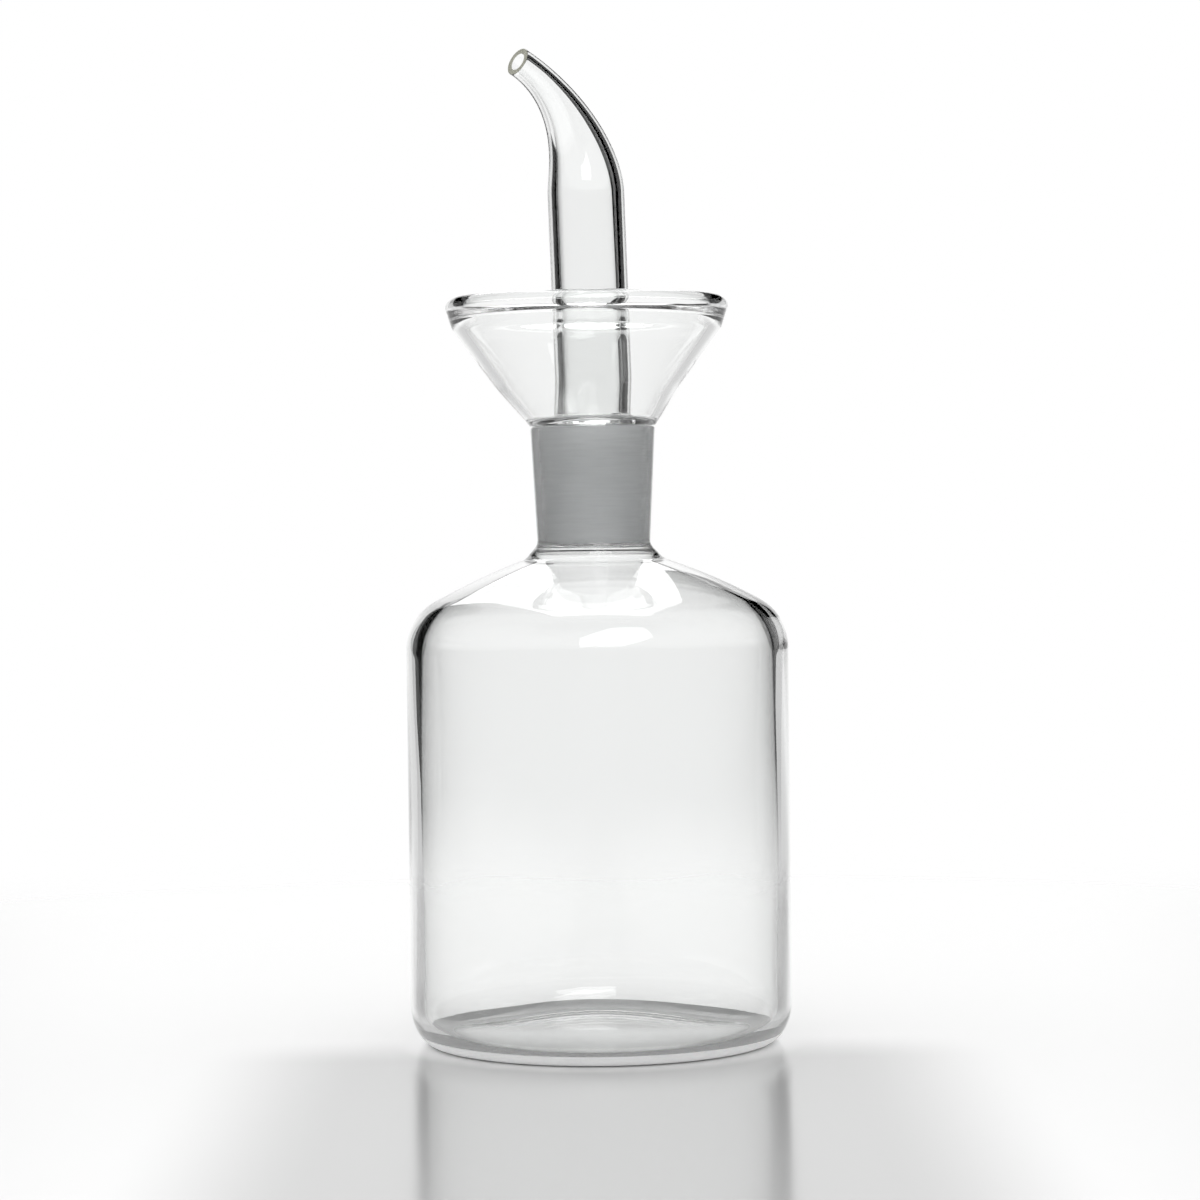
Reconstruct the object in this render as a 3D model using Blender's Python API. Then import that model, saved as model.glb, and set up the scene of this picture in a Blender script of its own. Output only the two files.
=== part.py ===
"""Table oil bottle in clear glass, built as the loose pieces and fused sections it is made of.

The bottle is a cylinder with a domed shoulder and a ground socket for a neck. A loose pourer
stands in the socket: a ground cone, a drip funnel with a closed floor, and a bent spout that
rises through the funnel. Oil caught by the funnel runs back through a notch at the spout's foot.

Lengths are in metres, angles in degrees. The origin is the middle of the base, on the table.
The spout pours toward -X.
"""

import math

import bmesh
import bpy

# Bottle body
BODY_DIAMETER = 0.0850
BODY_HEIGHT = 0.1105
BODY_WALL = 0.0034
BASE_THICKNESS = 0.0030
BASE_RISE = 0.0016
FOOT_WIDTH = 0.0035
HEEL_WIDTH = 0.0055
HEEL_HEIGHT = 0.0125
INNER_HEEL_RADIUS = 0.0050
SHOULDER_CORNER_RADIUS = 0.0140
DOME_OUTER_ANGLE = 61.0
DOME_INNER_ANGLE = 71.0
NECK_BEAD_WIDTH = 0.0028
NECK_BEAD_HEIGHT = 0.0032
THROAT_FILLET_RADIUS = 0.0047

# Ground joint, one in ten on the diameter, between the neck and the pourer
JOINT_WIDE_DIAMETER = 0.0244
JOINT_TAPER = 0.1
SOCKET_LENGTH = 0.0257
SOCKET_WALL = 0.0016
CONE_OVERHANG = 0.0007
CONE_WALL = 0.0015
RIM_ROUNDING = 0.0005

# Drip funnel
FUNNEL_HEIGHT = 0.0280
FUNNEL_FOOT_RADIUS = 0.0139
FUNNEL_WALL = 0.0017
FUNNEL_FLOOR = 0.0015
FUNNEL_FLOOR_FILLET = 0.0014
LIP_DIAMETER = 0.0626
LIP_BEAD_RADIUS = 0.0020
LIP_OUTER_ANGLE = -25.0
LIP_INNER_ANGLE = 236.0
COLLAR_HEIGHT = 0.0068
COLLAR_INSET = 0.0014

# Spout
SPOUT_DIAMETER = 0.0170
SPOUT_WALL = 0.0019
SPOUT_TIP_DIAMETER = 0.0064
SPOUT_TIP_WALL = 0.0012
SPOUT_FOOT_FLARE = 0.0003
SPOUT_FOOT_LENGTH = 0.0050
SPOUT_STRAIGHT = 0.0495
SPOUT_LEAN = 2.1
SPOUT_BEND_RADIUS = 0.0313
SPOUT_BEND_ANGLE = 63.6
SPOUT_TAPER_LENGTH = 0.0348
SPOUT_TAPER_POWER = 0.77

# Notch at the spout's foot that drains the funnel
DRAIN_RADIUS = 0.0030
DRAIN_DROP = 0.0010
DRAIN_DIRECTION = 232.0

# Fits
JOINT_CLEARANCE = 0.0003
RIM_GAP = 0.0006
FUSED_SEAM = 0.0003

# Facets
TURNED_SIDES = 48
SPOUT_SIDES = 32
SPOUT_FOOT_RINGS = 4
SPOUT_BEND_RINGS = 20
HEEL_STEPS = 7
BASE_STEPS = 5
CORNER_STEPS = 6
DOME_STEPS = 5
NECK_STEPS = 6
ROUNDING_STEPS = 3
LIP_STEPS = 14
SMOOTH_ANGLE = 35.0
WELD_DISTANCE = 0.000001

# Glass
CLEAR_COLOUR = (0.93, 0.95, 0.94)
CLEAR_ROUGHNESS = 0.02
GROUND_COLOUR = (0.80, 0.82, 0.82)
GROUND_ROUGHNESS = 0.55

BODY_RADIUS = BODY_DIAMETER / 2
SEAT_HEIGHT = BODY_HEIGHT + FUSED_SEAM + SOCKET_LENGTH + RIM_GAP
CONE_LENGTH = RIM_GAP + SOCKET_LENGTH + CONE_OVERHANG
SPOUT_FOOT_HEIGHT = FUNNEL_FLOOR + FUSED_SEAM
SPOUT_BORE_RADIUS = SPOUT_DIAMETER / 2 - SPOUT_WALL


def bore_radius(depth):
    """Radius of the socket's tapered bore at a depth below its rim."""
    return (JOINT_WIDE_DIAMETER - depth * JOINT_TAPER) / 2


def arc(centre, across, up, start, end, steps):
    """Points of an arc in the (radius, height) plane: a circle, or an upright oval."""
    points = []
    for step in range(steps + 1):
        angle = math.radians(start + (end - start) * step / steps)
        points.append((centre[0] + across * math.cos(angle), centre[1] + up * math.sin(angle)))
    return points


def shoulder_outline(wall_radius, corner_radius, neck_end):
    """From the straight wall up the shoulder: a corner arc and a wide dome arc, tangent.

    The dome meets the neck at neck_end. Its radius is the one that joins the corner to that
    point at the two dome angles.
    """
    cos_outer = math.cos(math.radians(DOME_OUTER_ANGLE))
    sin_outer = math.sin(math.radians(DOME_OUTER_ANGLE))
    cos_inner = math.cos(math.radians(DOME_INNER_ANGLE))
    sin_inner = math.sin(math.radians(DOME_INNER_ANGLE))
    corner_end = wall_radius - corner_radius * (1 - cos_outer)
    dome_radius = (corner_end - neck_end[0]) / (cos_outer - cos_inner)
    dome_centre = (neck_end[0] - dome_radius * cos_inner, neck_end[1] - dome_radius * sin_inner)
    corner_centre = (
        dome_centre[0] + (dome_radius - corner_radius) * cos_outer,
        dome_centre[1] + (dome_radius - corner_radius) * sin_outer,
    )
    corner = arc(corner_centre, corner_radius, corner_radius, 0, DOME_OUTER_ANGLE, CORNER_STEPS)
    dome = arc(dome_centre, dome_radius, dome_radius, DOME_OUTER_ANGLE, DOME_INNER_ANGLE, DOME_STEPS)
    return corner + dome[1:]


def rise_outline(edge_radius, edge_height):
    """The pushed-up base from its middle to its edge, a parabola that is BASE_RISE high."""
    points = []
    for step in range(BASE_STEPS + 1):
        share = step / BASE_STEPS
        points.append((edge_radius * share, edge_height + BASE_RISE * (1 - share * share)))
    return points


def outer_shoulder():
    """Outside of the shoulder, and the rounded bead where the neck is fused on."""
    bead_centre = (bore_radius(SOCKET_LENGTH) + SOCKET_WALL, BODY_HEIGHT - NECK_BEAD_HEIGHT)
    bead = arc(bead_centre, NECK_BEAD_WIDTH, NECK_BEAD_HEIGHT, 0, 90, NECK_STEPS)
    return shoulder_outline(BODY_RADIUS, SHOULDER_CORNER_RADIUS, bead[0]) + bead[1:]


def inner_shoulder():
    """Inside of the shoulder, and the fillet that leads from it into the neck's bore."""
    fillet_centre = (bore_radius(SOCKET_LENGTH) + THROAT_FILLET_RADIUS, BODY_HEIGHT)
    fillet = arc(
        fillet_centre, THROAT_FILLET_RADIUS, THROAT_FILLET_RADIUS,
        180 + DOME_INNER_ANGLE, 180, NECK_STEPS,
    )
    corner_radius = SHOULDER_CORNER_RADIUS - BODY_WALL
    return shoulder_outline(BODY_RADIUS - BODY_WALL, corner_radius, fillet[0]) + fillet[1:]


def body_outline():
    """Bottle body from the underside's middle, up the outside, down the inside to the floor."""
    foot_radius = BODY_RADIUS - HEEL_WIDTH
    inner_heel_centre = (
        BODY_RADIUS - BODY_WALL - INNER_HEEL_RADIUS,
        BASE_THICKNESS + INNER_HEEL_RADIUS,
    )
    underside = rise_outline(foot_radius - FOOT_WIDTH, 0)
    heel = arc((foot_radius, HEEL_HEIGHT), HEEL_WIDTH, HEEL_HEIGHT, -90, 0, HEEL_STEPS)
    inner_heel = arc(inner_heel_centre, INNER_HEEL_RADIUS, INNER_HEEL_RADIUS, 0, -90, HEEL_STEPS)
    floor = rise_outline(inner_heel_centre[0], BASE_THICKNESS)
    return underside + heel + outer_shoulder() + inner_shoulder()[::-1] + inner_heel + floor[-2::-1]


def socket_outline():
    """Ground socket from its foot, up the outside, over the rim and down the bore."""
    rim = SOCKET_LENGTH - RIM_ROUNDING
    outer_rounding = (bore_radius(0) + SOCKET_WALL - RIM_ROUNDING, rim)
    inner_rounding = (bore_radius(0) + RIM_ROUNDING, rim)
    return (
        [(bore_radius(SOCKET_LENGTH) + SOCKET_WALL, 0)]
        + arc(outer_rounding, RIM_ROUNDING, RIM_ROUNDING, 0, 90, ROUNDING_STEPS)
        + arc(inner_rounding, RIM_ROUNDING, RIM_ROUNDING, 90, 180, ROUNDING_STEPS)
        + [(bore_radius(SOCKET_LENGTH), 0)]
    )


def cone_outline():
    """Pourer's ground cone, open at both ends, from its top down; heights are below the seat."""
    outer_top = bore_radius(FUSED_SEAM - RIM_GAP) - JOINT_CLEARANCE
    outer_end = bore_radius(CONE_LENGTH - RIM_GAP) - JOINT_CLEARANCE
    end = RIM_ROUNDING - CONE_LENGTH
    outer_rounding = (outer_end - RIM_ROUNDING, end)
    inner_rounding = (outer_end - CONE_WALL + RIM_ROUNDING, end)
    return (
        [(outer_top - CONE_WALL, -FUSED_SEAM), (outer_top, -FUSED_SEAM)]
        + arc(outer_rounding, RIM_ROUNDING, RIM_ROUNDING, 0, -90, ROUNDING_STEPS)
        + arc(inner_rounding, RIM_ROUNDING, RIM_ROUNDING, -90, -180, ROUNDING_STEPS)
    )


def funnel_outline():
    """Drip funnel: flat floor, straight flared wall, an upright collar and a round bead for a lip."""
    lip_radius = LIP_DIAMETER / 2
    lip_centre = (lip_radius - LIP_BEAD_RADIUS, FUNNEL_HEIGHT - LIP_BEAD_RADIUS)
    lip = arc(
        lip_centre, LIP_BEAD_RADIUS, LIP_BEAD_RADIUS, LIP_OUTER_ANGLE, LIP_INNER_ANGLE, LIP_STEPS
    )
    collar_foot = (lip_radius - COLLAR_INSET, FUNNEL_HEIGHT - COLLAR_HEIGHT)
    flare = math.atan2(collar_foot[0] - FUNNEL_FOOT_RADIUS, collar_foot[1])
    inner_foot_radius = FUNNEL_FOOT_RADIUS - FUNNEL_WALL / math.cos(flare)
    collar_inside = (lip[-1][0], (lip[-1][0] - inner_foot_radius) / math.tan(flare))
    floor_edge = inner_foot_radius + FUNNEL_FLOOR * math.tan(flare)
    fillet_reach = FUNNEL_FLOOR_FILLET * math.tan((math.pi / 2 - flare) / 2)
    fillet_centre = (floor_edge - fillet_reach, FUNNEL_FLOOR + FUNNEL_FLOOR_FILLET)
    fillet = arc(
        fillet_centre, FUNNEL_FLOOR_FILLET, FUNNEL_FLOOR_FILLET,
        -math.degrees(flare), -90, ROUNDING_STEPS,
    )
    foot = [(SPOUT_BORE_RADIUS, 0), (FUNNEL_FOOT_RADIUS, 0), collar_foot]
    return foot + lip + [collar_inside] + fillet + [(SPOUT_BORE_RADIUS, FUNNEL_FLOOR)]


def spout_stations():
    """Centreline stations of the spout: (offset, height, heading, outer radius, bore radius).

    The foot is level. A straight run leans toward -X, and a bend carries it further over. Over
    the taper length before the tip, the radius falls along a cosine of a power of the distance.
    """
    runs = [
        (SPOUT_FOOT_LENGTH, 0, SPOUT_FOOT_RINGS),
        (SPOUT_STRAIGHT - SPOUT_FOOT_LENGTH, 0, 1),
        (SPOUT_BEND_RADIUS * math.radians(SPOUT_BEND_ANGLE), SPOUT_BEND_ANGLE, SPOUT_BEND_RINGS),
    ]
    whole_length = sum(length for length, turn, rings in runs)
    offset = 0
    height = SPOUT_FOOT_HEIGHT
    heading = SPOUT_LEAN
    travelled = 0
    stations = [spout_station(offset, height, 0, travelled, whole_length)]
    for length, turn, rings in runs:
        for _ in range(rings):
            middle = math.radians(heading + turn / rings / 2)
            offset -= length / rings * math.sin(middle)
            height += length / rings * math.cos(middle)
            heading += turn / rings
            travelled += length / rings
            stations.append(spout_station(offset, height, heading, travelled, whole_length))
    return stations


def spout_station(offset, height, heading, travelled, whole_length):
    """One station of the spout, with the radii that belong to its distance from the foot."""
    into_taper = max(0, 1 - (whole_length - travelled) / SPOUT_TAPER_LENGTH)
    fullness = (1 + math.cos(math.pi * into_taper ** SPOUT_TAPER_POWER)) / 2
    foot_share = max(0, 1 - travelled / SPOUT_FOOT_LENGTH)
    tip_radius = SPOUT_TIP_DIAMETER / 2
    radius = tip_radius + (SPOUT_DIAMETER / 2 - tip_radius) * fullness
    wall = SPOUT_TIP_WALL + (SPOUT_WALL - SPOUT_TIP_WALL) * fullness
    flare = SPOUT_FOOT_FLARE * foot_share * foot_share
    return offset, height, heading, radius + flare, radius - wall


def glass(name, colour, roughness):
    """Glass material of one piece."""
    material = bpy.data.materials.new(name)
    material.use_nodes = True
    shader = material.node_tree.nodes["Principled BSDF"]
    shader.inputs["Base Color"].default_value = (*colour, 1)
    shader.inputs["Roughness"].default_value = roughness
    shader.inputs["Metallic"].default_value = 0
    shader.inputs["Transmission Weight"].default_value = 1
    return material


def clear_glass(name):
    """Fire-polished, clear glass."""
    return glass(name + "_clear_glass", CLEAR_COLOUR, CLEAR_ROUGHNESS)


def ground_glass(name):
    """Glass ground matt for a tight joint."""
    return glass(name + "_ground_glass", GROUND_COLOUR, GROUND_ROUGHNESS)


def add_object(name, shape, material):
    """Object from a finished bmesh, smooth where its faces meet at a shallow angle."""
    bmesh.ops.recalc_face_normals(shape, faces=shape.faces)
    mesh = bpy.data.meshes.new(name)
    shape.to_mesh(mesh)
    shape.free()
    mesh.shade_smooth()
    mesh.set_sharp_from_angle(angle=math.radians(SMOOTH_ANGLE))
    if material:
        mesh.materials.append(material)
    piece = bpy.data.objects.new(name, mesh)
    bpy.context.scene.collection.objects.link(piece)
    return piece


def turned(name, outline, material):
    """Solid turned about Z from an outline that is a loop, or runs from the axis to the axis."""
    shape = bmesh.new()
    points = [shape.verts.new((radius, 0, height)) for radius, height in outline]
    edges = [shape.edges.new(pair) for pair in zip(points, points[1:])]
    if outline[0][0] > 0:
        edges.append(shape.edges.new((points[-1], points[0])))
    bmesh.ops.spin(
        shape, geom=points + edges, cent=(0, 0, 0), axis=(0, 0, 1),
        angle=math.tau, steps=TURNED_SIDES, use_merge=True,
    )
    bmesh.ops.remove_doubles(shape, verts=shape.verts, dist=WELD_DISTANCE)
    return add_object(name, shape, material)


def spout_ring(shape, offset, height, heading, radius):
    """Ring of vertices square to the spout's heading, which leans from +Z toward -X."""
    lean = math.radians(heading)
    ring = []
    for side in range(SPOUT_SIDES):
        turn = math.tau * side / SPOUT_SIDES
        forward = radius * math.cos(turn)
        ring.append(shape.verts.new((
            offset + forward * math.cos(lean),
            radius * math.sin(turn),
            height + forward * math.sin(lean),
        )))
    return ring


def bent_spout(name, material):
    """Spout tube: rings up the outside to the tip, back down the bore, and a flat foot."""
    shape = bmesh.new()
    stations = spout_stations()
    rings = [spout_ring(shape, *station[:3], station[3]) for station in stations]
    rings += [spout_ring(shape, *station[:3], station[4]) for station in stations[::-1]]
    for ring, next_ring in zip(rings, rings[1:] + rings[:1]):
        for side in range(SPOUT_SIDES):
            after = (side + 1) % SPOUT_SIDES
            shape.faces.new((ring[side], ring[after], next_ring[after], next_ring[side]))
    return add_object(name, shape, material)


def cut_drain(spout, parent):
    """Cut the drain notch through one side of the spout's foot."""
    length = SPOUT_DIAMETER
    shape = bmesh.new()
    bmesh.ops.create_cone(
        shape, cap_ends=True, segments=SPOUT_SIDES,
        radius1=DRAIN_RADIUS, radius2=DRAIN_RADIUS, depth=length,
    )
    cutter = add_object("drain_cutter", shape, None)
    direction = math.radians(DRAIN_DIRECTION)
    cutter.parent = parent
    cutter.location = (
        length / 2 * math.cos(direction),
        length / 2 * math.sin(direction),
        SPOUT_FOOT_HEIGHT - DRAIN_DROP,
    )
    cutter.rotation_euler = (0, math.pi / 2, direction)
    cutter.hide_render = True
    cutter.display_type = "WIRE"
    cut = spout.modifiers.new("drain", "BOOLEAN")
    cut.operation = "DIFFERENCE"
    cut.solver = "EXACT"
    cut.object = cutter


def build_bottle():
    """The bottle: its body, and the socket fused on top of it."""
    turned("bottle_body", body_outline(), clear_glass("bottle_body"))
    socket = turned("neck_socket", socket_outline(), ground_glass("neck_socket"))
    socket.location = (0, 0, BODY_HEIGHT + FUSED_SEAM)


def build_pourer():
    """The loose pourer, whose parent empty lies on the joint's axis, at the funnel's underside."""
    pourer = bpy.data.objects.new("pourer", None)
    bpy.context.scene.collection.objects.link(pourer)
    pourer.location = (0, 0, SEAT_HEIGHT)
    cone = turned("ground_cone", cone_outline(), ground_glass("ground_cone"))
    funnel = turned("drip_funnel", funnel_outline(), clear_glass("drip_funnel"))
    spout = bent_spout("spout_tube", clear_glass("spout_tube"))
    for piece in (cone, funnel, spout):
        piece.parent = pourer
    cut_drain(spout, pourer)


for old in list(bpy.data.objects):
    bpy.data.objects.remove(old, do_unlink=True)
build_bottle()
build_pourer()
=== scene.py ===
import math

import bpy
import numpy as np
from mathutils import Matrix, Vector


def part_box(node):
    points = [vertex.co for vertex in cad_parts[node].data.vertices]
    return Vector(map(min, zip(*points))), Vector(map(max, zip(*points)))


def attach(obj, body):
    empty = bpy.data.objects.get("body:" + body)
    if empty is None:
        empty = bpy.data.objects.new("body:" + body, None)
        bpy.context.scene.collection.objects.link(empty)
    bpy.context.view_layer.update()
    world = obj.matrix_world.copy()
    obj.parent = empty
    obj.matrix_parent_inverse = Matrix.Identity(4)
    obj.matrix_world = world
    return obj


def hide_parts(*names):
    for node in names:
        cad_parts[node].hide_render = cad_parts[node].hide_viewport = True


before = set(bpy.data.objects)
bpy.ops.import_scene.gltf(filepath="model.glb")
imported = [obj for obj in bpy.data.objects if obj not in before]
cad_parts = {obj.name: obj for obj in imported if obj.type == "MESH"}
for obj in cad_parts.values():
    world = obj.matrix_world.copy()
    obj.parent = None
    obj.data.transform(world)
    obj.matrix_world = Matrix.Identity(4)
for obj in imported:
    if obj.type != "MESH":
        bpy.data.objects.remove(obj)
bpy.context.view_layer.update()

# The bottle
# One piece of clear glass. A tube is closed flat at its base, drawn in over a domed shoulder
# and fused to a socket, whose bore is ground matt for the pourer's cone. Its foot is worn matt.

BODY_WALL = 0.00325
BASE_THICKNESS = 0.0019
BASE_RISE = 0.0002
FOOT_WIDTH = 0.0035
HEEL_WIDTH = 0.0055
HEEL_HEIGHT = 0.0095
INNER_HEEL_RADIUS = 0.0065
WORN_RADIUS = 0.0335  # the foot is worn outside this radius and below this height
WORN_HEIGHT = 0.0026
SHOULDER_CORNER_RADIUS = 0.0120
SHOULDER_CORNER_TURN = 61.0
INNER_CORNER_RADIUS = 0.0106
INNER_CORNER_TURN = 58.0
DOME_END_TURN = 71.0
NECK_FLARE_WIDTH = 0.0028
NECK_FLARE_HEIGHT = 0.0032
THROAT_WIDTH = 0.0031
THROAT_DEPTH = 0.0049
SOCKET_WALL = 0.0016
JOINT_TAPER = 0.1
RIM_ROUNDING = 0.0005
LOWER_STEP, LOWER_REACH = 0.0008, 0.0009  # spacing and softening of the profile's lower half
UPPER_STEP, UPPER_REACH = 0.0005, 0.0006
BOTTLE_SIDES = 156
SKIN_DEPTH = 0.00012
OUTER_WAVES = ((2, 3.0, 0.4), (3, -7.0, 1.9), (5, 5.0, 4.1))  # lobes, turns per metre, phase
INNER_WAVES = ((3, 6.0, 2.6), (4, -9.0, 0.7), (7, 11.0, 5.2))
WAVES_BEGIN = (0.004, 0.016)
WAVES_END = (0.098, 0.108)
LEAN_TOWARD = Vector((-0.79, 0.61, 0))
NECK_SHIFT = 0.0005
NECK_SHIFT_BEGIN = 0.100
GLASS_INDEX = 1.474
GROUND_SLOT, WORN_SLOT = 1, 2

body_low, body_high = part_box("bottle_body")
socket_low, socket_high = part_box("neck_socket")
body_radius = (body_high.x - body_low.x) / 2
neck_foot = body_high.z
rim_height = socket_high.z
rim_radius = (socket_high.x - socket_low.x) / 2
neck_foot_radius = rim_radius - (rim_height - neck_foot) * JOINT_TAPER / 2


def oval_arc(centre, across, up, start, end, count):
    """(radius, height) points of an arc: centre plus (across cos a, up sin a), a in degrees."""
    angle = np.radians(np.linspace(start, end, count))
    return np.stack((centre[0] + across * np.cos(angle), centre[1] + up * np.sin(angle)), 1)


def round_arc(centre, radius, start, end, count):
    """(radius, height) points of a circular arc."""
    return oval_arc(centre, radius, radius, start, end, count)


def straight_run(start, end, count):
    """Evenly spaced (radius, height) points from start to end."""
    return np.linspace(start, end, count)


def joined(*runs):
    """Runs of points end to end, without the doubled point where one meets the next."""
    points = np.concatenate(runs)
    step = np.linalg.norm(np.diff(points, axis=0), axis=1)
    return points[np.concatenate(([True], step > 1e-6))]


def softened(points, spacing, reach):
    """Profile resampled at even spacing, each point then the Gaussian mean of its neighbours.

    The mean runs over 3 reaches each way and both ends keep their place, so arcs that only
    shared a direction also come to share their curvature.
    """
    step = np.linalg.norm(np.diff(points, axis=0), axis=1)
    travel = np.concatenate(([0], np.cumsum(step)))
    even = np.linspace(0, travel[-1], int(travel[-1] / spacing) + 1)
    resampled = np.stack([np.interp(even, travel, points[:, axis]) for axis in (0, 1)], 1)
    half = int(3 * reach / (even[1] - even[0]))
    weight = np.exp(-0.5 * (np.arange(-half, half + 1) * (even[1] - even[0]) / reach) ** 2)
    weight /= weight.sum()
    before = 2 * resampled[0] - resampled[half:0:-1]
    after = 2 * resampled[-1] - resampled[-2:-half - 2:-1]
    padded = np.concatenate((before, resampled, after))
    return np.stack([np.convolve(padded[:, axis], weight, "valid") for axis in (0, 1)], 1)


def smooth_step(values, start, end):
    """0 before start, 1 after end, and 3t squared minus 2t cubed between them."""
    t = np.clip((values - start) / (end - start), 0, 1)
    return t * t * (3 - 2 * t)


def hand_waves(angle, height, waves):
    """Shallow unevenness of hand-worked glass, from 0 to 1.

    Mean of cosines of (lobes x angle + turns per metre x height + phase), moved up to 0..1.
    """
    total = sum(
        np.cos(lobes * angle + math.tau * rate * height + phase) for lobes, rate, phase in waves
    )
    return (1 + total / len(waves)) / 2


def shoulder_profile(wall_radius, corner_radius, corner_turn, neck_end):
    """Shoulder from the wall to the neck's end point: a corner arc, then a wide dome arc.

    The two are tangent where the corner has turned by corner_turn degrees.
    """
    corner, end = math.radians(corner_turn), math.radians(DOME_END_TURN)
    corner_end = wall_radius - corner_radius * (1 - math.cos(corner))
    dome_radius = (corner_end - neck_end[0]) / (math.cos(corner) - math.cos(end))
    dome_centre = (neck_end[0] - dome_radius * math.cos(end), neck_end[1] - dome_radius * math.sin(end))
    reach = dome_radius - corner_radius
    corner_centre = (dome_centre[0] + reach * math.cos(corner), dome_centre[1] + reach * math.sin(corner))
    return joined(
        round_arc(corner_centre, corner_radius, 0, corner_turn, 60),
        round_arc(dome_centre, dome_radius, corner_turn, DOME_END_TURN, 100),
    )


def base_profile(edge_radius, edge_height, rise):
    """Base from middle to edge: edge height plus rise x (1 - share of radius squared)."""
    share = np.linspace(0, 1, 200)
    return np.stack((edge_radius * share, edge_height + rise * (1 - share * share)), 1)


def closed_skin(name, rings, capped):
    """Mesh of a grid of rings (ring, side, xyz), whose faces point away from the glass.

    Capped rings start and end at a pole, where each ring is one vertex; otherwise the last
    ring joins the first.
    """
    sides = rings.shape[1]
    inner = rings[1:-1] if capped else rings
    rows = len(inner)
    index = np.arange(rows * sides).reshape(rows, sides)
    if not capped:
        index = np.concatenate((index, index[:1]))
    turned = np.roll(index, -1, axis=1)
    faces = np.stack((index[:-1], turned[:-1], turned[1:], index[1:]), -1).reshape(-1, 4).tolist()
    points = inner.reshape(-1, 3)
    if capped:
        first, last = len(points), len(points) + 1
        points = np.concatenate((points, rings[0, :1], rings[-1, :1]))
        faces += np.stack((np.full(sides, first), turned[0], index[0]), 1).tolist()
        faces += np.stack((np.full(sides, last), index[-1], turned[-1]), 1).tolist()
    mesh = bpy.data.meshes.new(name)
    mesh.from_pydata(points.tolist(), [], faces)
    mesh.shade_smooth()
    piece = bpy.data.objects.new(name, mesh)
    bpy.context.scene.collection.objects.link(piece)
    return piece


def bottle_profile():
    """Whole section of the bottle, from the underside's middle, over the rim, to the floor.

    The first and last ring of the ground bore and the rings of the worn foot are given too.
    """
    foot_radius = body_radius - HEEL_WIDTH
    inner_radius = body_radius - BODY_WALL
    neck_bore = neck_foot_radius - SOCKET_WALL
    rim_bore = rim_radius - SOCKET_WALL
    top = rim_height - RIM_ROUNDING
    middle = neck_foot / 2

    heel = oval_arc((foot_radius, HEEL_HEIGHT), HEEL_WIDTH, HEEL_HEIGHT, -90, 0, 80)
    lower_outer = joined(
        base_profile(foot_radius - FOOT_WIDTH, 0, BASE_RISE), heel,
        straight_run(heel[-1], (body_radius, middle), 60),
    )
    flare_foot = (neck_foot_radius + NECK_FLARE_WIDTH, neck_foot - NECK_FLARE_HEIGHT)
    flare = straight_run(flare_foot, (neck_foot_radius, neck_foot), 40)
    outside = shoulder_profile(body_radius, SHOULDER_CORNER_RADIUS, SHOULDER_CORNER_TURN, flare_foot)
    rim = joined(
        round_arc((rim_radius - RIM_ROUNDING, top), RIM_ROUNDING, 0, 90, 6),
        round_arc((rim_bore + RIM_ROUNDING, top), RIM_ROUNDING, 90, 180, 6),
    )
    upper_outer = joined(
        straight_run((body_radius, middle), outside[0], 60), outside,
        flare, straight_run(flare[-1], rim[0], 60),
    )
    throat = oval_arc((neck_bore, neck_foot - THROAT_DEPTH), THROAT_WIDTH, THROAT_DEPTH, 0, 90, 40)
    inside = joined(
        shoulder_profile(inner_radius, INNER_CORNER_RADIUS, INNER_CORNER_TURN, throat[0]), throat
    )
    upper_inner = joined(inside[::-1], straight_run(inside[0], (inner_radius, middle), 60))
    inner_heel_centre = (inner_radius - INNER_HEEL_RADIUS, BASE_THICKNESS + INNER_HEEL_RADIUS)
    inner_heel = round_arc(inner_heel_centre, INNER_HEEL_RADIUS, 0, -90, 60)
    lower_inner = joined(
        straight_run((inner_radius, middle), inner_heel[0], 60), inner_heel,
        base_profile(inner_heel_centre[0], BASE_THICKNESS, 0)[::-1],
    )

    outer = joined(
        softened(lower_outer, LOWER_STEP, LOWER_REACH), softened(upper_outer, UPPER_STEP, UPPER_REACH)
    )
    inner = joined(
        softened(upper_inner, UPPER_STEP, UPPER_REACH), softened(lower_inner, LOWER_STEP, LOWER_REACH)
    )
    bore = straight_run(rim[-1], inner[0], 20)
    whole = joined(outer, rim, bore, inner)
    is_outer = np.arange(len(whole)) < len(outer)
    is_foot = is_outer & (whole[:, 1] < WORN_HEIGHT) & (whole[:, 0] > WORN_RADIUS)
    return whole, len(outer) + 2, len(outer) + len(rim) + len(bore) - 2, np.flatnonzero(is_foot)


profile, bore_start, bore_end, foot_rings = bottle_profile()
angle = np.linspace(0, math.tau, BOTTLE_SIDES, endpoint=False)[None, :]
radius, height = profile[:, :1], profile[:, 1:]
is_inner = (np.arange(len(profile)) >= bore_end)[:, None]
outer_waves = hand_waves(angle, height, OUTER_WAVES)
inner_waves = hand_waves(angle, height, INNER_WAVES)
ease = smooth_step(height, *WAVES_BEGIN) * (1 - smooth_step(height, *WAVES_END))
radius = radius - SKIN_DEPTH * ease * np.where(is_inner, 2 * inner_waves, outer_waves)
shift = NECK_SHIFT * smooth_step(height, NECK_SHIFT_BEGIN, neck_foot)
grid = np.stack((
    radius * np.cos(angle) + shift * LEAN_TOWARD.x,
    radius * np.sin(angle) + shift * LEAN_TOWARD.y,
    height + 0 * angle,
), -1)
bottle_glass = closed_skin("bottle_glass", grid, capped=True)
finish = np.zeros(len(bottle_glass.data.polygons), dtype=np.int32)
finish[(bore_start - 1) * BOTTLE_SIDES:(bore_end - 1) * BOTTLE_SIDES] = GROUND_SLOT
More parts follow.
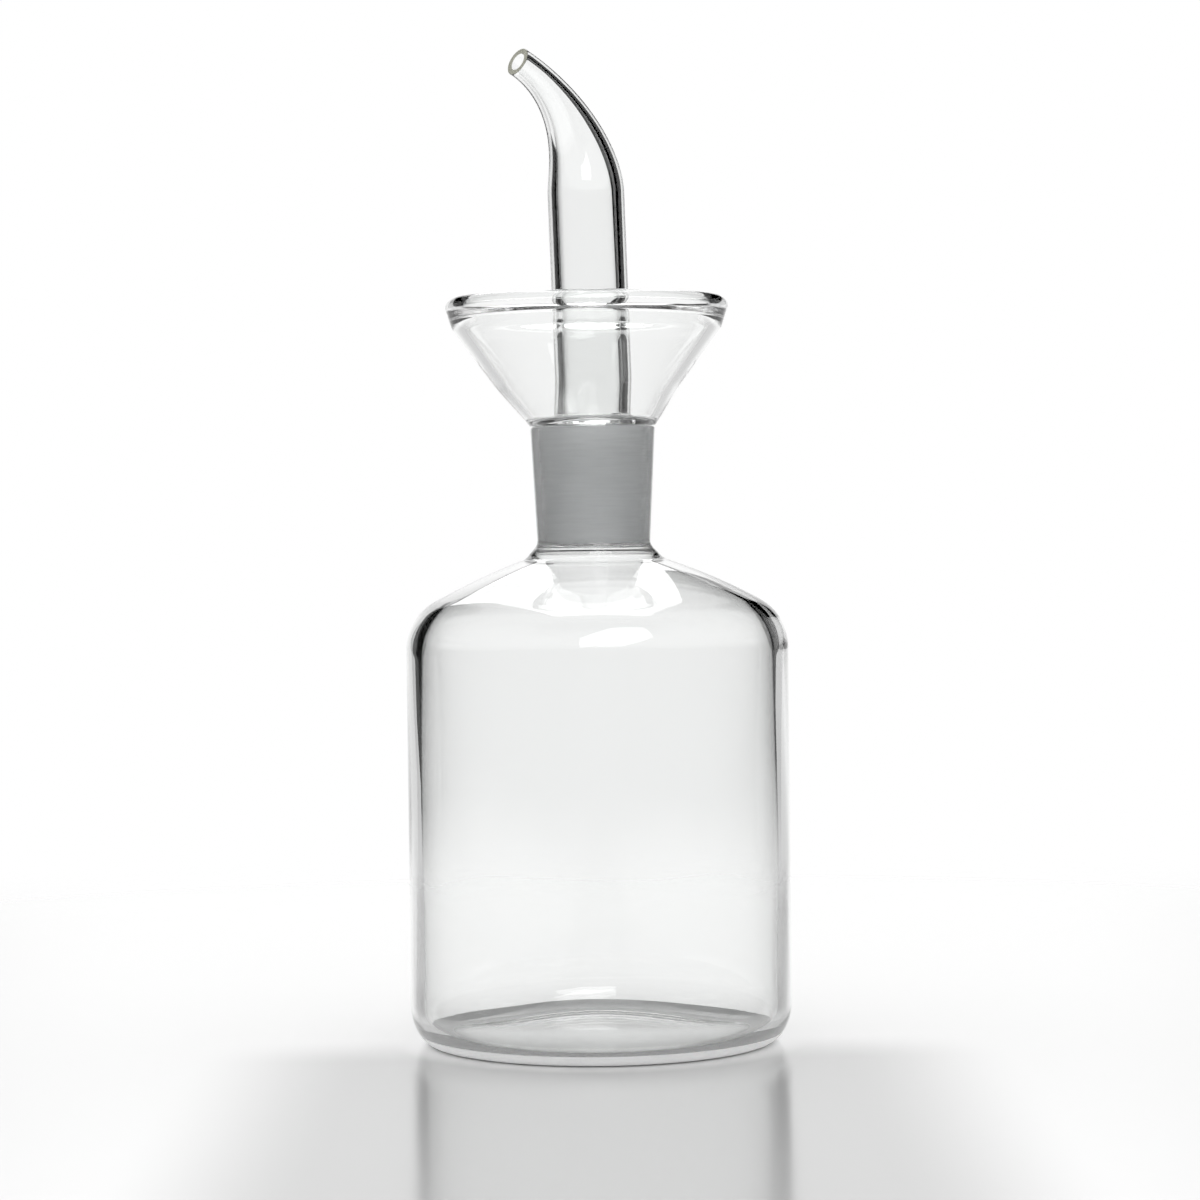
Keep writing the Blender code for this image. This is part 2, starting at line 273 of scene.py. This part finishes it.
finish[(foot_rings[0] - 1) * BOTTLE_SIDES:(foot_rings[-1] - 1) * BOTTLE_SIDES] = WORN_SLOT


def add_node(tree, kind, inputs=(), **settings):
    """Shader node with its input values and settings; an input may be a socket to link from."""
    made = tree.nodes.new(kind)
    for key, value in settings.items():
        setattr(made, key, value)
    for key, value in dict(inputs).items():
        if isinstance(value, bpy.types.NodeSocket):
            tree.links.new(value, made.inputs[key])
        else:
            made.inputs[key].default_value = value
    return made


def new_glass(name):
    """Material with a Principled shader set up as glass."""
    material = bpy.data.materials.new(name)
    material.use_nodes = True
    shader = material.node_tree.nodes["Principled BSDF"]
    shader.inputs["Transmission Weight"].default_value = 1
    shader.inputs["Metallic"].default_value = 0
    shader.inputs["IOR"].default_value = GLASS_INDEX
    return material, material.node_tree, shader


def new_grinding_marks():
    """Node group for every glass surface that is ground, sawn or worn.

    Streaks is noise as fine as the grit, drawn out along the cut by Stretch, mixed with slow
    patches of finer grit and raised in contrast. Normal is its relief, Depth metres deep.
    """
    group = bpy.data.node_groups.new("grinding_marks", "ShaderNodeTree")
    group.interface.new_socket("Stretch", in_out="INPUT", socket_type="NodeSocketVector")
    group.interface.new_socket("Depth", in_out="INPUT", socket_type="NodeSocketFloat")
    group.interface.new_socket("Streaks", in_out="OUTPUT", socket_type="NodeSocketFloat")
    group.interface.new_socket("Normal", in_out="OUTPUT", socket_type="NodeSocketVector")
    given = add_node(group, "NodeGroupInput").outputs
    result = add_node(group, "NodeGroupOutput").inputs
    place = add_node(group, "ShaderNodeTexCoord").outputs["Object"]
    drawn_out = add_node(
        group, "ShaderNodeVectorMath", {0: place, 1: given["Stretch"]}, operation="MULTIPLY"
    ).outputs[0]
    grit = add_node(group, "ShaderNodeTexNoise", {
        "Vector": drawn_out, "Scale": 1.0, "Detail": 3.0, "Roughness": 0.6,
    }).outputs[0]
    patches = add_node(group, "ShaderNodeTexNoise", {
        "Vector": place, "Scale": 160.0, "Detail": 2.0,
    }).outputs[0]
    blend = add_node(group, "ShaderNodeMix", {0: 0.3, 2: grit, 3: patches}).outputs[0]
    streaks = add_node(group, "ShaderNodeMapRange", {0: blend, 1: 0.35, 2: 0.65}).outputs[0]
    relief = add_node(group, "ShaderNodeBump", {
        "Strength": 1.0, "Distance": given["Depth"], "Height": streaks,
    }).outputs["Normal"]
    group.links.new(streaks, result["Streaks"])
    group.links.new(relief, result["Normal"])
    return group


grinding_marks = new_grinding_marks()


def new_matt_glass(name, dark, light, roughness, transmission, stretch, depth):
    """Matt glass whose colour, between dark and light, and surface follow the grinding marks."""
    material, tree, shader = new_glass(name)
    shader.inputs["Roughness"].default_value = roughness
    shader.inputs["Transmission Weight"].default_value = transmission
    marks = add_node(
        tree, "ShaderNodeGroup", {"Stretch": stretch, "Depth": depth}, node_tree=grinding_marks
    ).outputs
    color = add_node(
        tree, "ShaderNodeMix", {0: marks["Streaks"], 6: (*dark, 1), 7: (*light, 1)}, data_type="RGBA"
    ).outputs[2]
    tree.links.new(color, shader.inputs["Base Color"])
    tree.links.new(marks["Normal"], shader.inputs["Normal"])
    return material


clear_glass, _, shader = new_glass("clear_glass")
shader.inputs["Base Color"].default_value = (0.99, 0.995, 0.992, 1)
shader.inputs["Roughness"].default_value = 0
ground_glass = new_matt_glass(
    "ground_glass", dark=(0.865, 0.875, 0.88), light=(0.975, 0.985, 0.99),
    roughness=0.6, transmission=0.75, stretch=(120, 120, 3000), depth=0.00003,
)
worn_glass = new_matt_glass(
    "worn_foot", dark=(0.95, 0.955, 0.955), light=(1.0, 1.0, 1.0),
    roughness=0.5, transmission=0.0, stretch=(900, 900, 900), depth=0.00001,
)

for material in (clear_glass, ground_glass, worn_glass):
    bottle_glass.data.materials.append(material)
bottle_glass.data.polygons.foreach_set("material_index", finish)
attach(bottle_glass, "bottle")
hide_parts("bottle_body", "neck_socket")

# The pourer
# One piece of clear glass that lifts out of the socket: a cone ground matt outside, a drip
# funnel drawn out above it, and a spout tube fused to the funnel's floor, bent over and cut.

CONE_WALL = 0.0015
CONE_THROAT_ROUNDING = 0.0010
GROUND_DROP = 0.0006  # from the seat down to where the grinding starts
UNDERSIDE_WIDTH = 0.0002
UNDERSIDE_DROPS = (0.0005, 0.0004)
FUNNEL_WALL = 0.0017
FUNNEL_FLOOR = 0.0015
FUNNEL_FLOOR_FILLET = 0.0014
FUNNEL_FOOT_RADIUS = 0.0139
FUNNEL_STEP, FUNNEL_REACH = 0.0004, 0.0005
FUNNEL_SHIFT = 0.00105
FUNNEL_SHIFT_SPAN = (-0.001, 0.009)
LIP_BEAD_RADIUS = 0.0020
LIP_START, LIP_END = -25, 236
LIP_ROLL = (0.0005, 0.0004)
COLLAR_HEIGHT = 0.0068
COLLAR_INSET = 0.0014
FUSED_SEAM = 0.0003
SPOUT_RADIUS = 0.0085
SPOUT_WALL = 0.0019
SPOUT_FOOT_FILLET = 0.0012
SPOUT_BORE_ROUNDING = 0.0007
SPOUT_SHIFT_END = 0.012
SPOUT_LEAN = 2.1
SPOUT_LEAN_SPAN = (0.001, 0.006)
SPOUT_STRAIGHT = 0.0495
SPOUT_BEND_RADIUS = 0.0313
SPOUT_BEND_ANGLE = 63.6
SPOUT_TAPER_LENGTH = 0.0348
SPOUT_TAPER_POWER = 0.77
SPOUT_TIP_RADIUS = 0.0032
SPOUT_TIP_WALL = 0.0012
SPOUT_TIP_ROUNDING = 0.0001
PATH_MARGIN = 0.001
POURER_SIDES = 192
SAWN_SLOT = 2

cone_low, cone_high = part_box("ground_cone")
funnel_low, funnel_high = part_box("drip_funnel")
seat = funnel_low.z
cone_top_radius = (cone_high.x - cone_low.x) / 2
cone_end = cone_low.z - seat
cone_end_radius = cone_top_radius + cone_end * JOINT_TAPER / 2
funnel_height = funnel_high.z - seat
lip_radius = (funnel_high.x - funnel_low.x) / 2
spout_foot = FUNNEL_FLOOR + FUSED_SEAM
bend_length = SPOUT_BEND_RADIUS * math.radians(SPOUT_BEND_ANGLE)
spout_length = SPOUT_STRAIGHT + bend_length
spout_tip = spout_foot + spout_length


def spout_section(along):
    """Outer and bore radius of the spout at a distance along it from the seat.

    Before the tip both narrow with fullness (1 + cos(pi t^power)) / 2, t from 0 to 1 over the
    taper length.
    """
    t = np.clip(1 - (spout_tip - along) / SPOUT_TAPER_LENGTH, 0, 1)
    fullness = (1 + np.cos(np.pi * t ** SPOUT_TAPER_POWER)) / 2
    outer = SPOUT_TIP_RADIUS + (SPOUT_RADIUS - SPOUT_TIP_RADIUS) * fullness
    return outer, outer - SPOUT_TIP_WALL - (SPOUT_WALL - SPOUT_TIP_WALL) * fullness


def pourer_profile():
    """Whole section of the pourer as (radius, distance along its path from the seat).

    From the cone's end up the ground side, round the funnel and its lip, up the spout, over
    the tip and down the bore. The runs of the ground side and of the sawn tip are given too.
    """
    end = cone_end + RIM_ROUNDING
    cone_inner_end = cone_end_radius - CONE_WALL
    cone_inner_top = cone_top_radius - CONE_WALL
    cone_rim = joined(
        round_arc((cone_inner_end + RIM_ROUNDING, end), RIM_ROUNDING, 180, 270, 5),
        round_arc((cone_end_radius - RIM_ROUNDING, end), RIM_ROUNDING, 270, 360, 5),
    )
    ground = straight_run(cone_rim[-1], (cone_top_radius, -GROUND_DROP), 24)
    underside = straight_run(
        (cone_top_radius + UNDERSIDE_WIDTH, -UNDERSIDE_DROPS[0]),
        (FUNNEL_FOOT_RADIUS, -UNDERSIDE_DROPS[1]), 6,
    )

    lip_centre = (lip_radius - LIP_BEAD_RADIUS, funnel_height - LIP_BEAD_RADIUS)
    lip = round_arc(lip_centre, LIP_BEAD_RADIUS, LIP_START, LIP_END, 64)
    collar_foot = (lip_radius - COLLAR_INSET, funnel_height - COLLAR_HEIGHT)
    funnel_outside = softened(joined(
        straight_run(underside[-1], collar_foot, 60), straight_run(collar_foot, lip[0], 12),
    ), FUNNEL_STEP, FUNNEL_REACH)
    flare = math.atan2(collar_foot[0] - FUNNEL_FOOT_RADIUS, collar_foot[1])
    inner_foot_radius = FUNNEL_FOOT_RADIUS - FUNNEL_WALL / math.cos(flare)
    floor_edge = inner_foot_radius + FUNNEL_FLOOR * math.tan(flare)
    fillet_reach = FUNNEL_FLOOR_FILLET * math.tan((math.pi / 2 - flare) / 2)
    fillet_centre = (floor_edge - fillet_reach, FUNNEL_FLOOR + FUNNEL_FLOOR_FILLET)
    fillet = round_arc(fillet_centre, FUNNEL_FLOOR_FILLET, -math.degrees(flare), -90, 10)
    roll = (lip[-1][0] + LIP_ROLL[0], lip[-1][1] - LIP_ROLL[1])
    funnel_inside = joined(straight_run(lip[-1], roll, 3), straight_run(roll, fillet[0], 40))

    foot = round_arc(
        (SPOUT_RADIUS + SPOUT_FOOT_FILLET, FUNNEL_FLOOR + SPOUT_FOOT_FILLET),
        SPOUT_FOOT_FILLET, -90, -180, 8,
    )
    tip_shoulder = spout_tip - SPOUT_TIP_ROUNDING
    along = np.linspace(foot[-1][1], tip_shoulder, 110)
    outer, inner = spout_section(along)
    outside = np.stack((outer, along), 1)
    inside = np.stack((inner, along), 1)
    tip = joined(
        round_arc((outer[-1] - SPOUT_TIP_ROUNDING, tip_shoulder), SPOUT_TIP_ROUNDING, 0, 90, 4),
        round_arc((inner[-1] + SPOUT_TIP_ROUNDING, tip_shoulder), SPOUT_TIP_ROUNDING, 90, 180, 4),
    )
    bore = SPOUT_RADIUS - SPOUT_WALL
    throat = joined(
        straight_run(inside[0], (bore, FUNNEL_FLOOR), 3),
        round_arc((bore + SPOUT_BORE_ROUNDING, SPOUT_BORE_ROUNDING), SPOUT_BORE_ROUNDING, 180, 270, 6),
        round_arc(
            (cone_inner_top - CONE_THROAT_ROUNDING, -CONE_THROAT_ROUNDING),
            CONE_THROAT_ROUNDING, 90, 0, 6,
        ),
    )
    cone_inside = straight_run(throat[-1], (cone_inner_end, end), 20)
    before_tip = joined(ground, underside, funnel_outside, lip, funnel_inside, fillet, foot, outside)
    whole = joined(before_tip, tip, inside[::-1], throat, cone_inside, cone_rim[:-1])
    return whole, len(ground), (len(before_tip) + 1, len(before_tip) + 6)


def along_path(profile, angle):
    """Grid of points round the pourer's path, one ring for each (radius, distance) of the profile.

    The path's heading is 0 up to the funnel's floor, eases to the spout's lean, and grows with
    the distance along the bend; its points are the running sum of the heading's direction.
    """
    fine = np.linspace(cone_end - PATH_MARGIN, spout_tip + PATH_MARGIN, 4000)
    bend = np.clip((fine - spout_foot - SPOUT_STRAIGHT) / SPOUT_BEND_RADIUS, 0, None)
    lean = math.radians(SPOUT_LEAN) * smooth_step(fine, *SPOUT_LEAN_SPAN)
    heading = lean + bend
    step = fine[1] - fine[0]
    path_x = -np.cumsum(np.sin(heading)) * step
    path_z = fine[0] + np.cumsum(np.cos(heading)) * step
    radius, along = profile[:, :1], profile[:, 1:]
    on_spout = (radius < SPOUT_RADIUS + PATH_MARGIN) & (along > FUNNEL_FLOOR)
    turn = np.where(on_spout, np.interp(along, fine, heading), 0)
    centre_x = np.where(on_spout, np.interp(along, fine, path_x), 0)
    centre_z = np.where(on_spout, np.interp(along, fine, path_z), along)
    forward = radius * np.cos(angle)
    spout_shift = NECK_SHIFT * (1 - smooth_step(along, FUNNEL_FLOOR, SPOUT_SHIFT_END))
    funnel_shift = NECK_SHIFT + FUNNEL_SHIFT * smooth_step(along, *FUNNEL_SHIFT_SPAN)
    shift = np.where(on_spout, spout_shift, np.where(along > 0, funnel_shift, NECK_SHIFT))
    return np.stack((
        centre_x + forward * np.cos(turn) + shift * LEAN_TOWARD.x,
        radius * np.sin(angle) + shift * LEAN_TOWARD.y,
        seat + centre_z + forward * np.sin(turn),
    ), -1)


profile, ground_rings, tip_rings = pourer_profile()
angle = np.linspace(0, math.tau, POURER_SIDES, endpoint=False)[None, :]
pourer_glass = closed_skin("pourer_glass", along_path(profile, angle), capped=False)
finish = np.zeros(len(pourer_glass.data.polygons), dtype=np.int32)
finish[:(ground_rings - 1) * POURER_SIDES] = GROUND_SLOT
finish[tip_rings[0] * POURER_SIDES:tip_rings[1] * POURER_SIDES] = SAWN_SLOT

sawn_glass = new_matt_glass(
    "sawn_glass", dark=(0.34, 0.34, 0.28), light=(0.44, 0.44, 0.37),
    roughness=0.8, transmission=0.2, stretch=(1500, 1500, 1500), depth=0.00002,
)

for material in (clear_glass, ground_glass, sawn_glass):
    pourer_glass.data.materials.append(material)
pourer_glass.data.polygons.foreach_set("material_index", finish)
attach(pourer_glass, "pourer")
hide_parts("ground_cone", "drip_funnel", "spout_tube")

# The studio
# A pale, faintly glossy table in a white room. The glass is lit as glassware is: a white window
# behind it, darkness to both sides that draws its dark edges, and softboxes above and in front.
# The grey pool on the table before the bottle is a painted shadow in the table's colour.

CAMERA_LENS = 102
CAMERA_AZIMUTH = -38
CAMERA_DISTANCE = 0.755
CAMERA_HEIGHT = 0.1155
CAMERA_PITCH = -1.324
CAMERA_YAW = 0.054
CAMERA_ROLL = 0.66
TABLE_RADIUS = 0.45
TABLE_SIDES = 96
TABLE_FADE = (0.26, 0.44)
SHADOW_POOL_FRONT = (-0.005, 0.03)  # painted shadow before the bottle, a grey pool in the table's colour: toward the camera, outside its foot
SHADOW_POOL_OUTSIDE = (0.038, 0.047)
SHADOW_POOL_BESIDE = (0.09, 0.05)
SHADOW_POOL_TONE = 0.58
PANEL_DISTANCE = 1.5
PANEL_DIMMING = (0.3, 0.7)
WINDOW_OUTLINE = (
    (-1.3, -1.2), (-1.25, -0.16), (-1.01, -0.09), (-0.83, 0.0), (-0.75, 0.09), (-0.78, 0.36),
    (-0.81, 0.44), (-0.65, 0.50), (-0.62, 0.74), (0.37, 0.74), (0.39, 0.47), (0.46, 0.32),
    (0.55, 0.25), (0.61, 0.17), (0.76, 0.07), (0.87, 0.0), (1.17, -0.09), (1.25, -0.16),
    (1.3, -1.2),
)
TOP_BOX_OUTLINE = (
    (-1.05, -2.9), (-0.60, -1.4), (-0.45, 0.15), (0.52, 0.15), (0.45, -2.3), (0.55, -2.9),
)
FRONT_BOX_OUTLINE = (
    (-0.3, -0.46), (0.4, -0.5), (1.1, -1.1), (1.1, -2.3), (0.3, -2.0), (-0.3, -0.9),
)
BELOW_TABLE = (-0.08, -0.12)  # a ray's rise where the world turns into the table going on
TABLE_GLOW = 0.9
GLASS_BOUNCES = 24
GLOSSY_BOUNCES = 12

azimuth = math.radians(CAMERA_AZIMUTH)
camera_back = Vector((math.sin(azimuth), -math.cos(azimuth), 0))
camera_data = bpy.data.cameras.new("camera")
camera_data.lens = CAMERA_LENS
camera = bpy.data.objects.new("camera", camera_data)
bpy.context.scene.collection.objects.link(camera)
bpy.context.scene.camera = camera
camera.matrix_world = (
    Matrix.Translation(camera_back * CAMERA_DISTANCE + Vector((0, 0, CAMERA_HEIGHT)))
    @ Matrix.Rotation(azimuth - math.radians(CAMERA_YAW), 4, "Z")
    @ Matrix.Rotation(math.radians(90 + CAMERA_PITCH), 4, "X")
    @ Matrix.Rotation(-math.radians(CAMERA_ROLL), 4, "Z")
)


def eased(tree, value, span, start=0.0, end=1.0):
    """Socket that goes from start to end as the value crosses the span, smooth at both ends."""
    return add_node(tree, "ShaderNodeMapRange", {
        0: value, 1: span[0], 2: span[1], 3: start, 4: end,
    }, interpolation_type="SMOOTHSTEP").outputs[0]


def flat_sheet(name, corners):
    """Object of one flat face through the corners."""
    mesh = bpy.data.meshes.new(name)
    mesh.from_pydata(corners.tolist(), [], [list(range(len(corners)))])
    sheet = bpy.data.objects.new(name, mesh)
    bpy.context.scene.collection.objects.link(sheet)
    return sheet


turn = np.linspace(0, math.tau, TABLE_SIDES + 1)[:-1]
table_top = flat_sheet(
    "table_top", np.stack((np.cos(turn), np.sin(turn), 0 * turn), 1) * TABLE_RADIUS
)
lacquer_with_painted_shadow = bpy.data.materials.new("lacquer_with_painted_shadow")
lacquer_with_painted_shadow.use_nodes = True
tree = lacquer_with_painted_shadow.node_tree
shader = tree.nodes["Principled BSDF"]
shader.inputs["Roughness"].default_value = 0.14
place = add_node(tree, "ShaderNodeTexCoord").outputs["Object"]
reach = add_node(tree, "ShaderNodeVectorMath", {0: place}, operation="LENGTH").outputs["Value"]
toward = add_node(
    tree, "ShaderNodeVectorMath", {0: place, 1: camera_back}, operation="DOT_PRODUCT"
).outputs["Value"]
sideways = add_node(
    tree, "ShaderNodeVectorMath", {0: place, 1: (camera_back.y, -camera_back.x, 0)},
    operation="DOT_PRODUCT",
).outputs["Value"]
beside = add_node(tree, "ShaderNodeMath", {0: sideways}, operation="ABSOLUTE").outputs[0]
# Painted shadow: the table's colour darkens to a grey pool before the bottle, toward the camera, outside
# its foot and close beside it.
front = add_node(tree, "ShaderNodeMath", {
    0: eased(tree, toward, SHADOW_POOL_FRONT), 1: eased(tree, reach, SHADOW_POOL_OUTSIDE),
}, operation="MULTIPLY").outputs[0]
painted_shadow = add_node(tree, "ShaderNodeMath", {
    0: front, 1: eased(tree, beside, SHADOW_POOL_BESIDE),
}, operation="MULTIPLY").outputs[0]
painted_shadow_tone = add_node(tree, "ShaderNodeMapRange", {0: painted_shadow, 3: 1.0, 4: SHADOW_POOL_TONE}).outputs[0]
tree.links.new(painted_shadow_tone, shader.inputs["Base Color"])
clear = add_node(tree, "ShaderNodeBsdfTransparent").outputs[0]
mixed = add_node(tree, "ShaderNodeMixShader", {
    0: eased(tree, reach, TABLE_FADE), 1: shader.outputs[0], 2: clear,
}).outputs[0]
tree.links.new(mixed, tree.nodes["Material Output"].inputs["Surface"])
table_top.data.materials.append(lacquer_with_painted_shadow)


def light_panel(name, outline, tilt, brightness, side_share=1.0):
    """Flat glowing panel in the camera's directions, with the bottle at the middle of the studio.

    The outline is (across, up) in metres on a plane PANEL_DISTANCE ahead, tilted back about the
    camera's side axis: 0 stands behind the bottle, 90 hangs above it, 180 faces it from the
    camera. To both sides it dims to side_share of its brightness. Only the glass sees it, and
    light that has touched the table meets it as plain white.
    """
    across, up = np.array(outline).T
    lean = math.radians(tilt)
    raised = up * math.cos(lean) + PANEL_DISTANCE * math.sin(lean)
    onward = PANEL_DISTANCE * math.cos(lean) - up * math.sin(lean)
    panel = flat_sheet(name, np.stack((across, raised, -onward), -1))
    material = bpy.data.materials.new(name + "_glow")
    material.use_nodes = True
    material.cycles.emission_sampling = "NONE"
    tree = material.node_tree
    tree.nodes.remove(tree.nodes["Principled BSDF"])
    place = add_node(tree, "ShaderNodeTexCoord").outputs["Object"]
    beside = add_node(tree, "ShaderNodeSeparateXYZ", {0: place}).outputs["X"]
    beside = add_node(tree, "ShaderNodeMath", {0: beside}, operation="ABSOLUTE").outputs[0]
    direct = eased(tree, beside, PANEL_DIMMING, brightness, brightness * side_share)
    bounced = add_node(tree, "ShaderNodeLightPath").outputs["Diffuse Depth"]
    strength = add_node(tree, "ShaderNodeMapRange", {0: bounced, 3: direct, 4: 1.0}).outputs[0]
    glow = add_node(tree, "ShaderNodeEmission", {"Strength": strength}).outputs[0]
    tree.links.new(glow, tree.nodes["Material Output"].inputs["Surface"])
    panel.data.materials.append(material)
    panel.parent = camera
    panel.location = (0, 0, -CAMERA_DISTANCE)
    panel.visible_camera = False
    panel.visible_diffuse = False
    panel.visible_shadow = False


light_panel("window", WINDOW_OUTLINE, 0, 1.0, 0.64)
light_panel("top_softbox", TOP_BOX_OUTLINE, 90, 2.5)
light_panel("front_softbox", FRONT_BOX_OUTLINE, 180, 4.0)

world = bpy.data.worlds.new("white_room")
bpy.context.scene.world = world
world.use_nodes = True
tree = world.node_tree
path = add_node(tree, "ShaderNodeLightPath").outputs
seen = add_node(tree, "ShaderNodeMath", {
    0: path["Is Camera Ray"], 1: path["Diffuse Depth"],
}, operation="ADD", use_clamp=True).outputs[0]
way = add_node(tree, "ShaderNodeTexCoord").outputs["Generated"]
rise = add_node(tree, "ShaderNodeSeparateXYZ", {0: way}).outputs["Z"]
table = add_node(tree, "ShaderNodeMapRange", {
    0: rise, 1: BELOW_TABLE[0], 2: BELOW_TABLE[1], 3: 0.0, 4: TABLE_GLOW,
}).outputs[0]
glow = add_node(tree, "ShaderNodeMath", {0: seen, 1: table}, operation="MAXIMUM").outputs[0]
background = tree.nodes["Background"]
background.inputs["Color"].default_value = (1, 1, 1, 1)
tree.links.new(glow, background.inputs["Strength"])

scene = bpy.context.scene
scene.view_settings.view_transform = "Standard"
scene.cycles.max_bounces = GLASS_BOUNCES
scene.cycles.transmission_bounces = GLASS_BOUNCES
scene.cycles.glossy_bounces = GLOSSY_BOUNCES
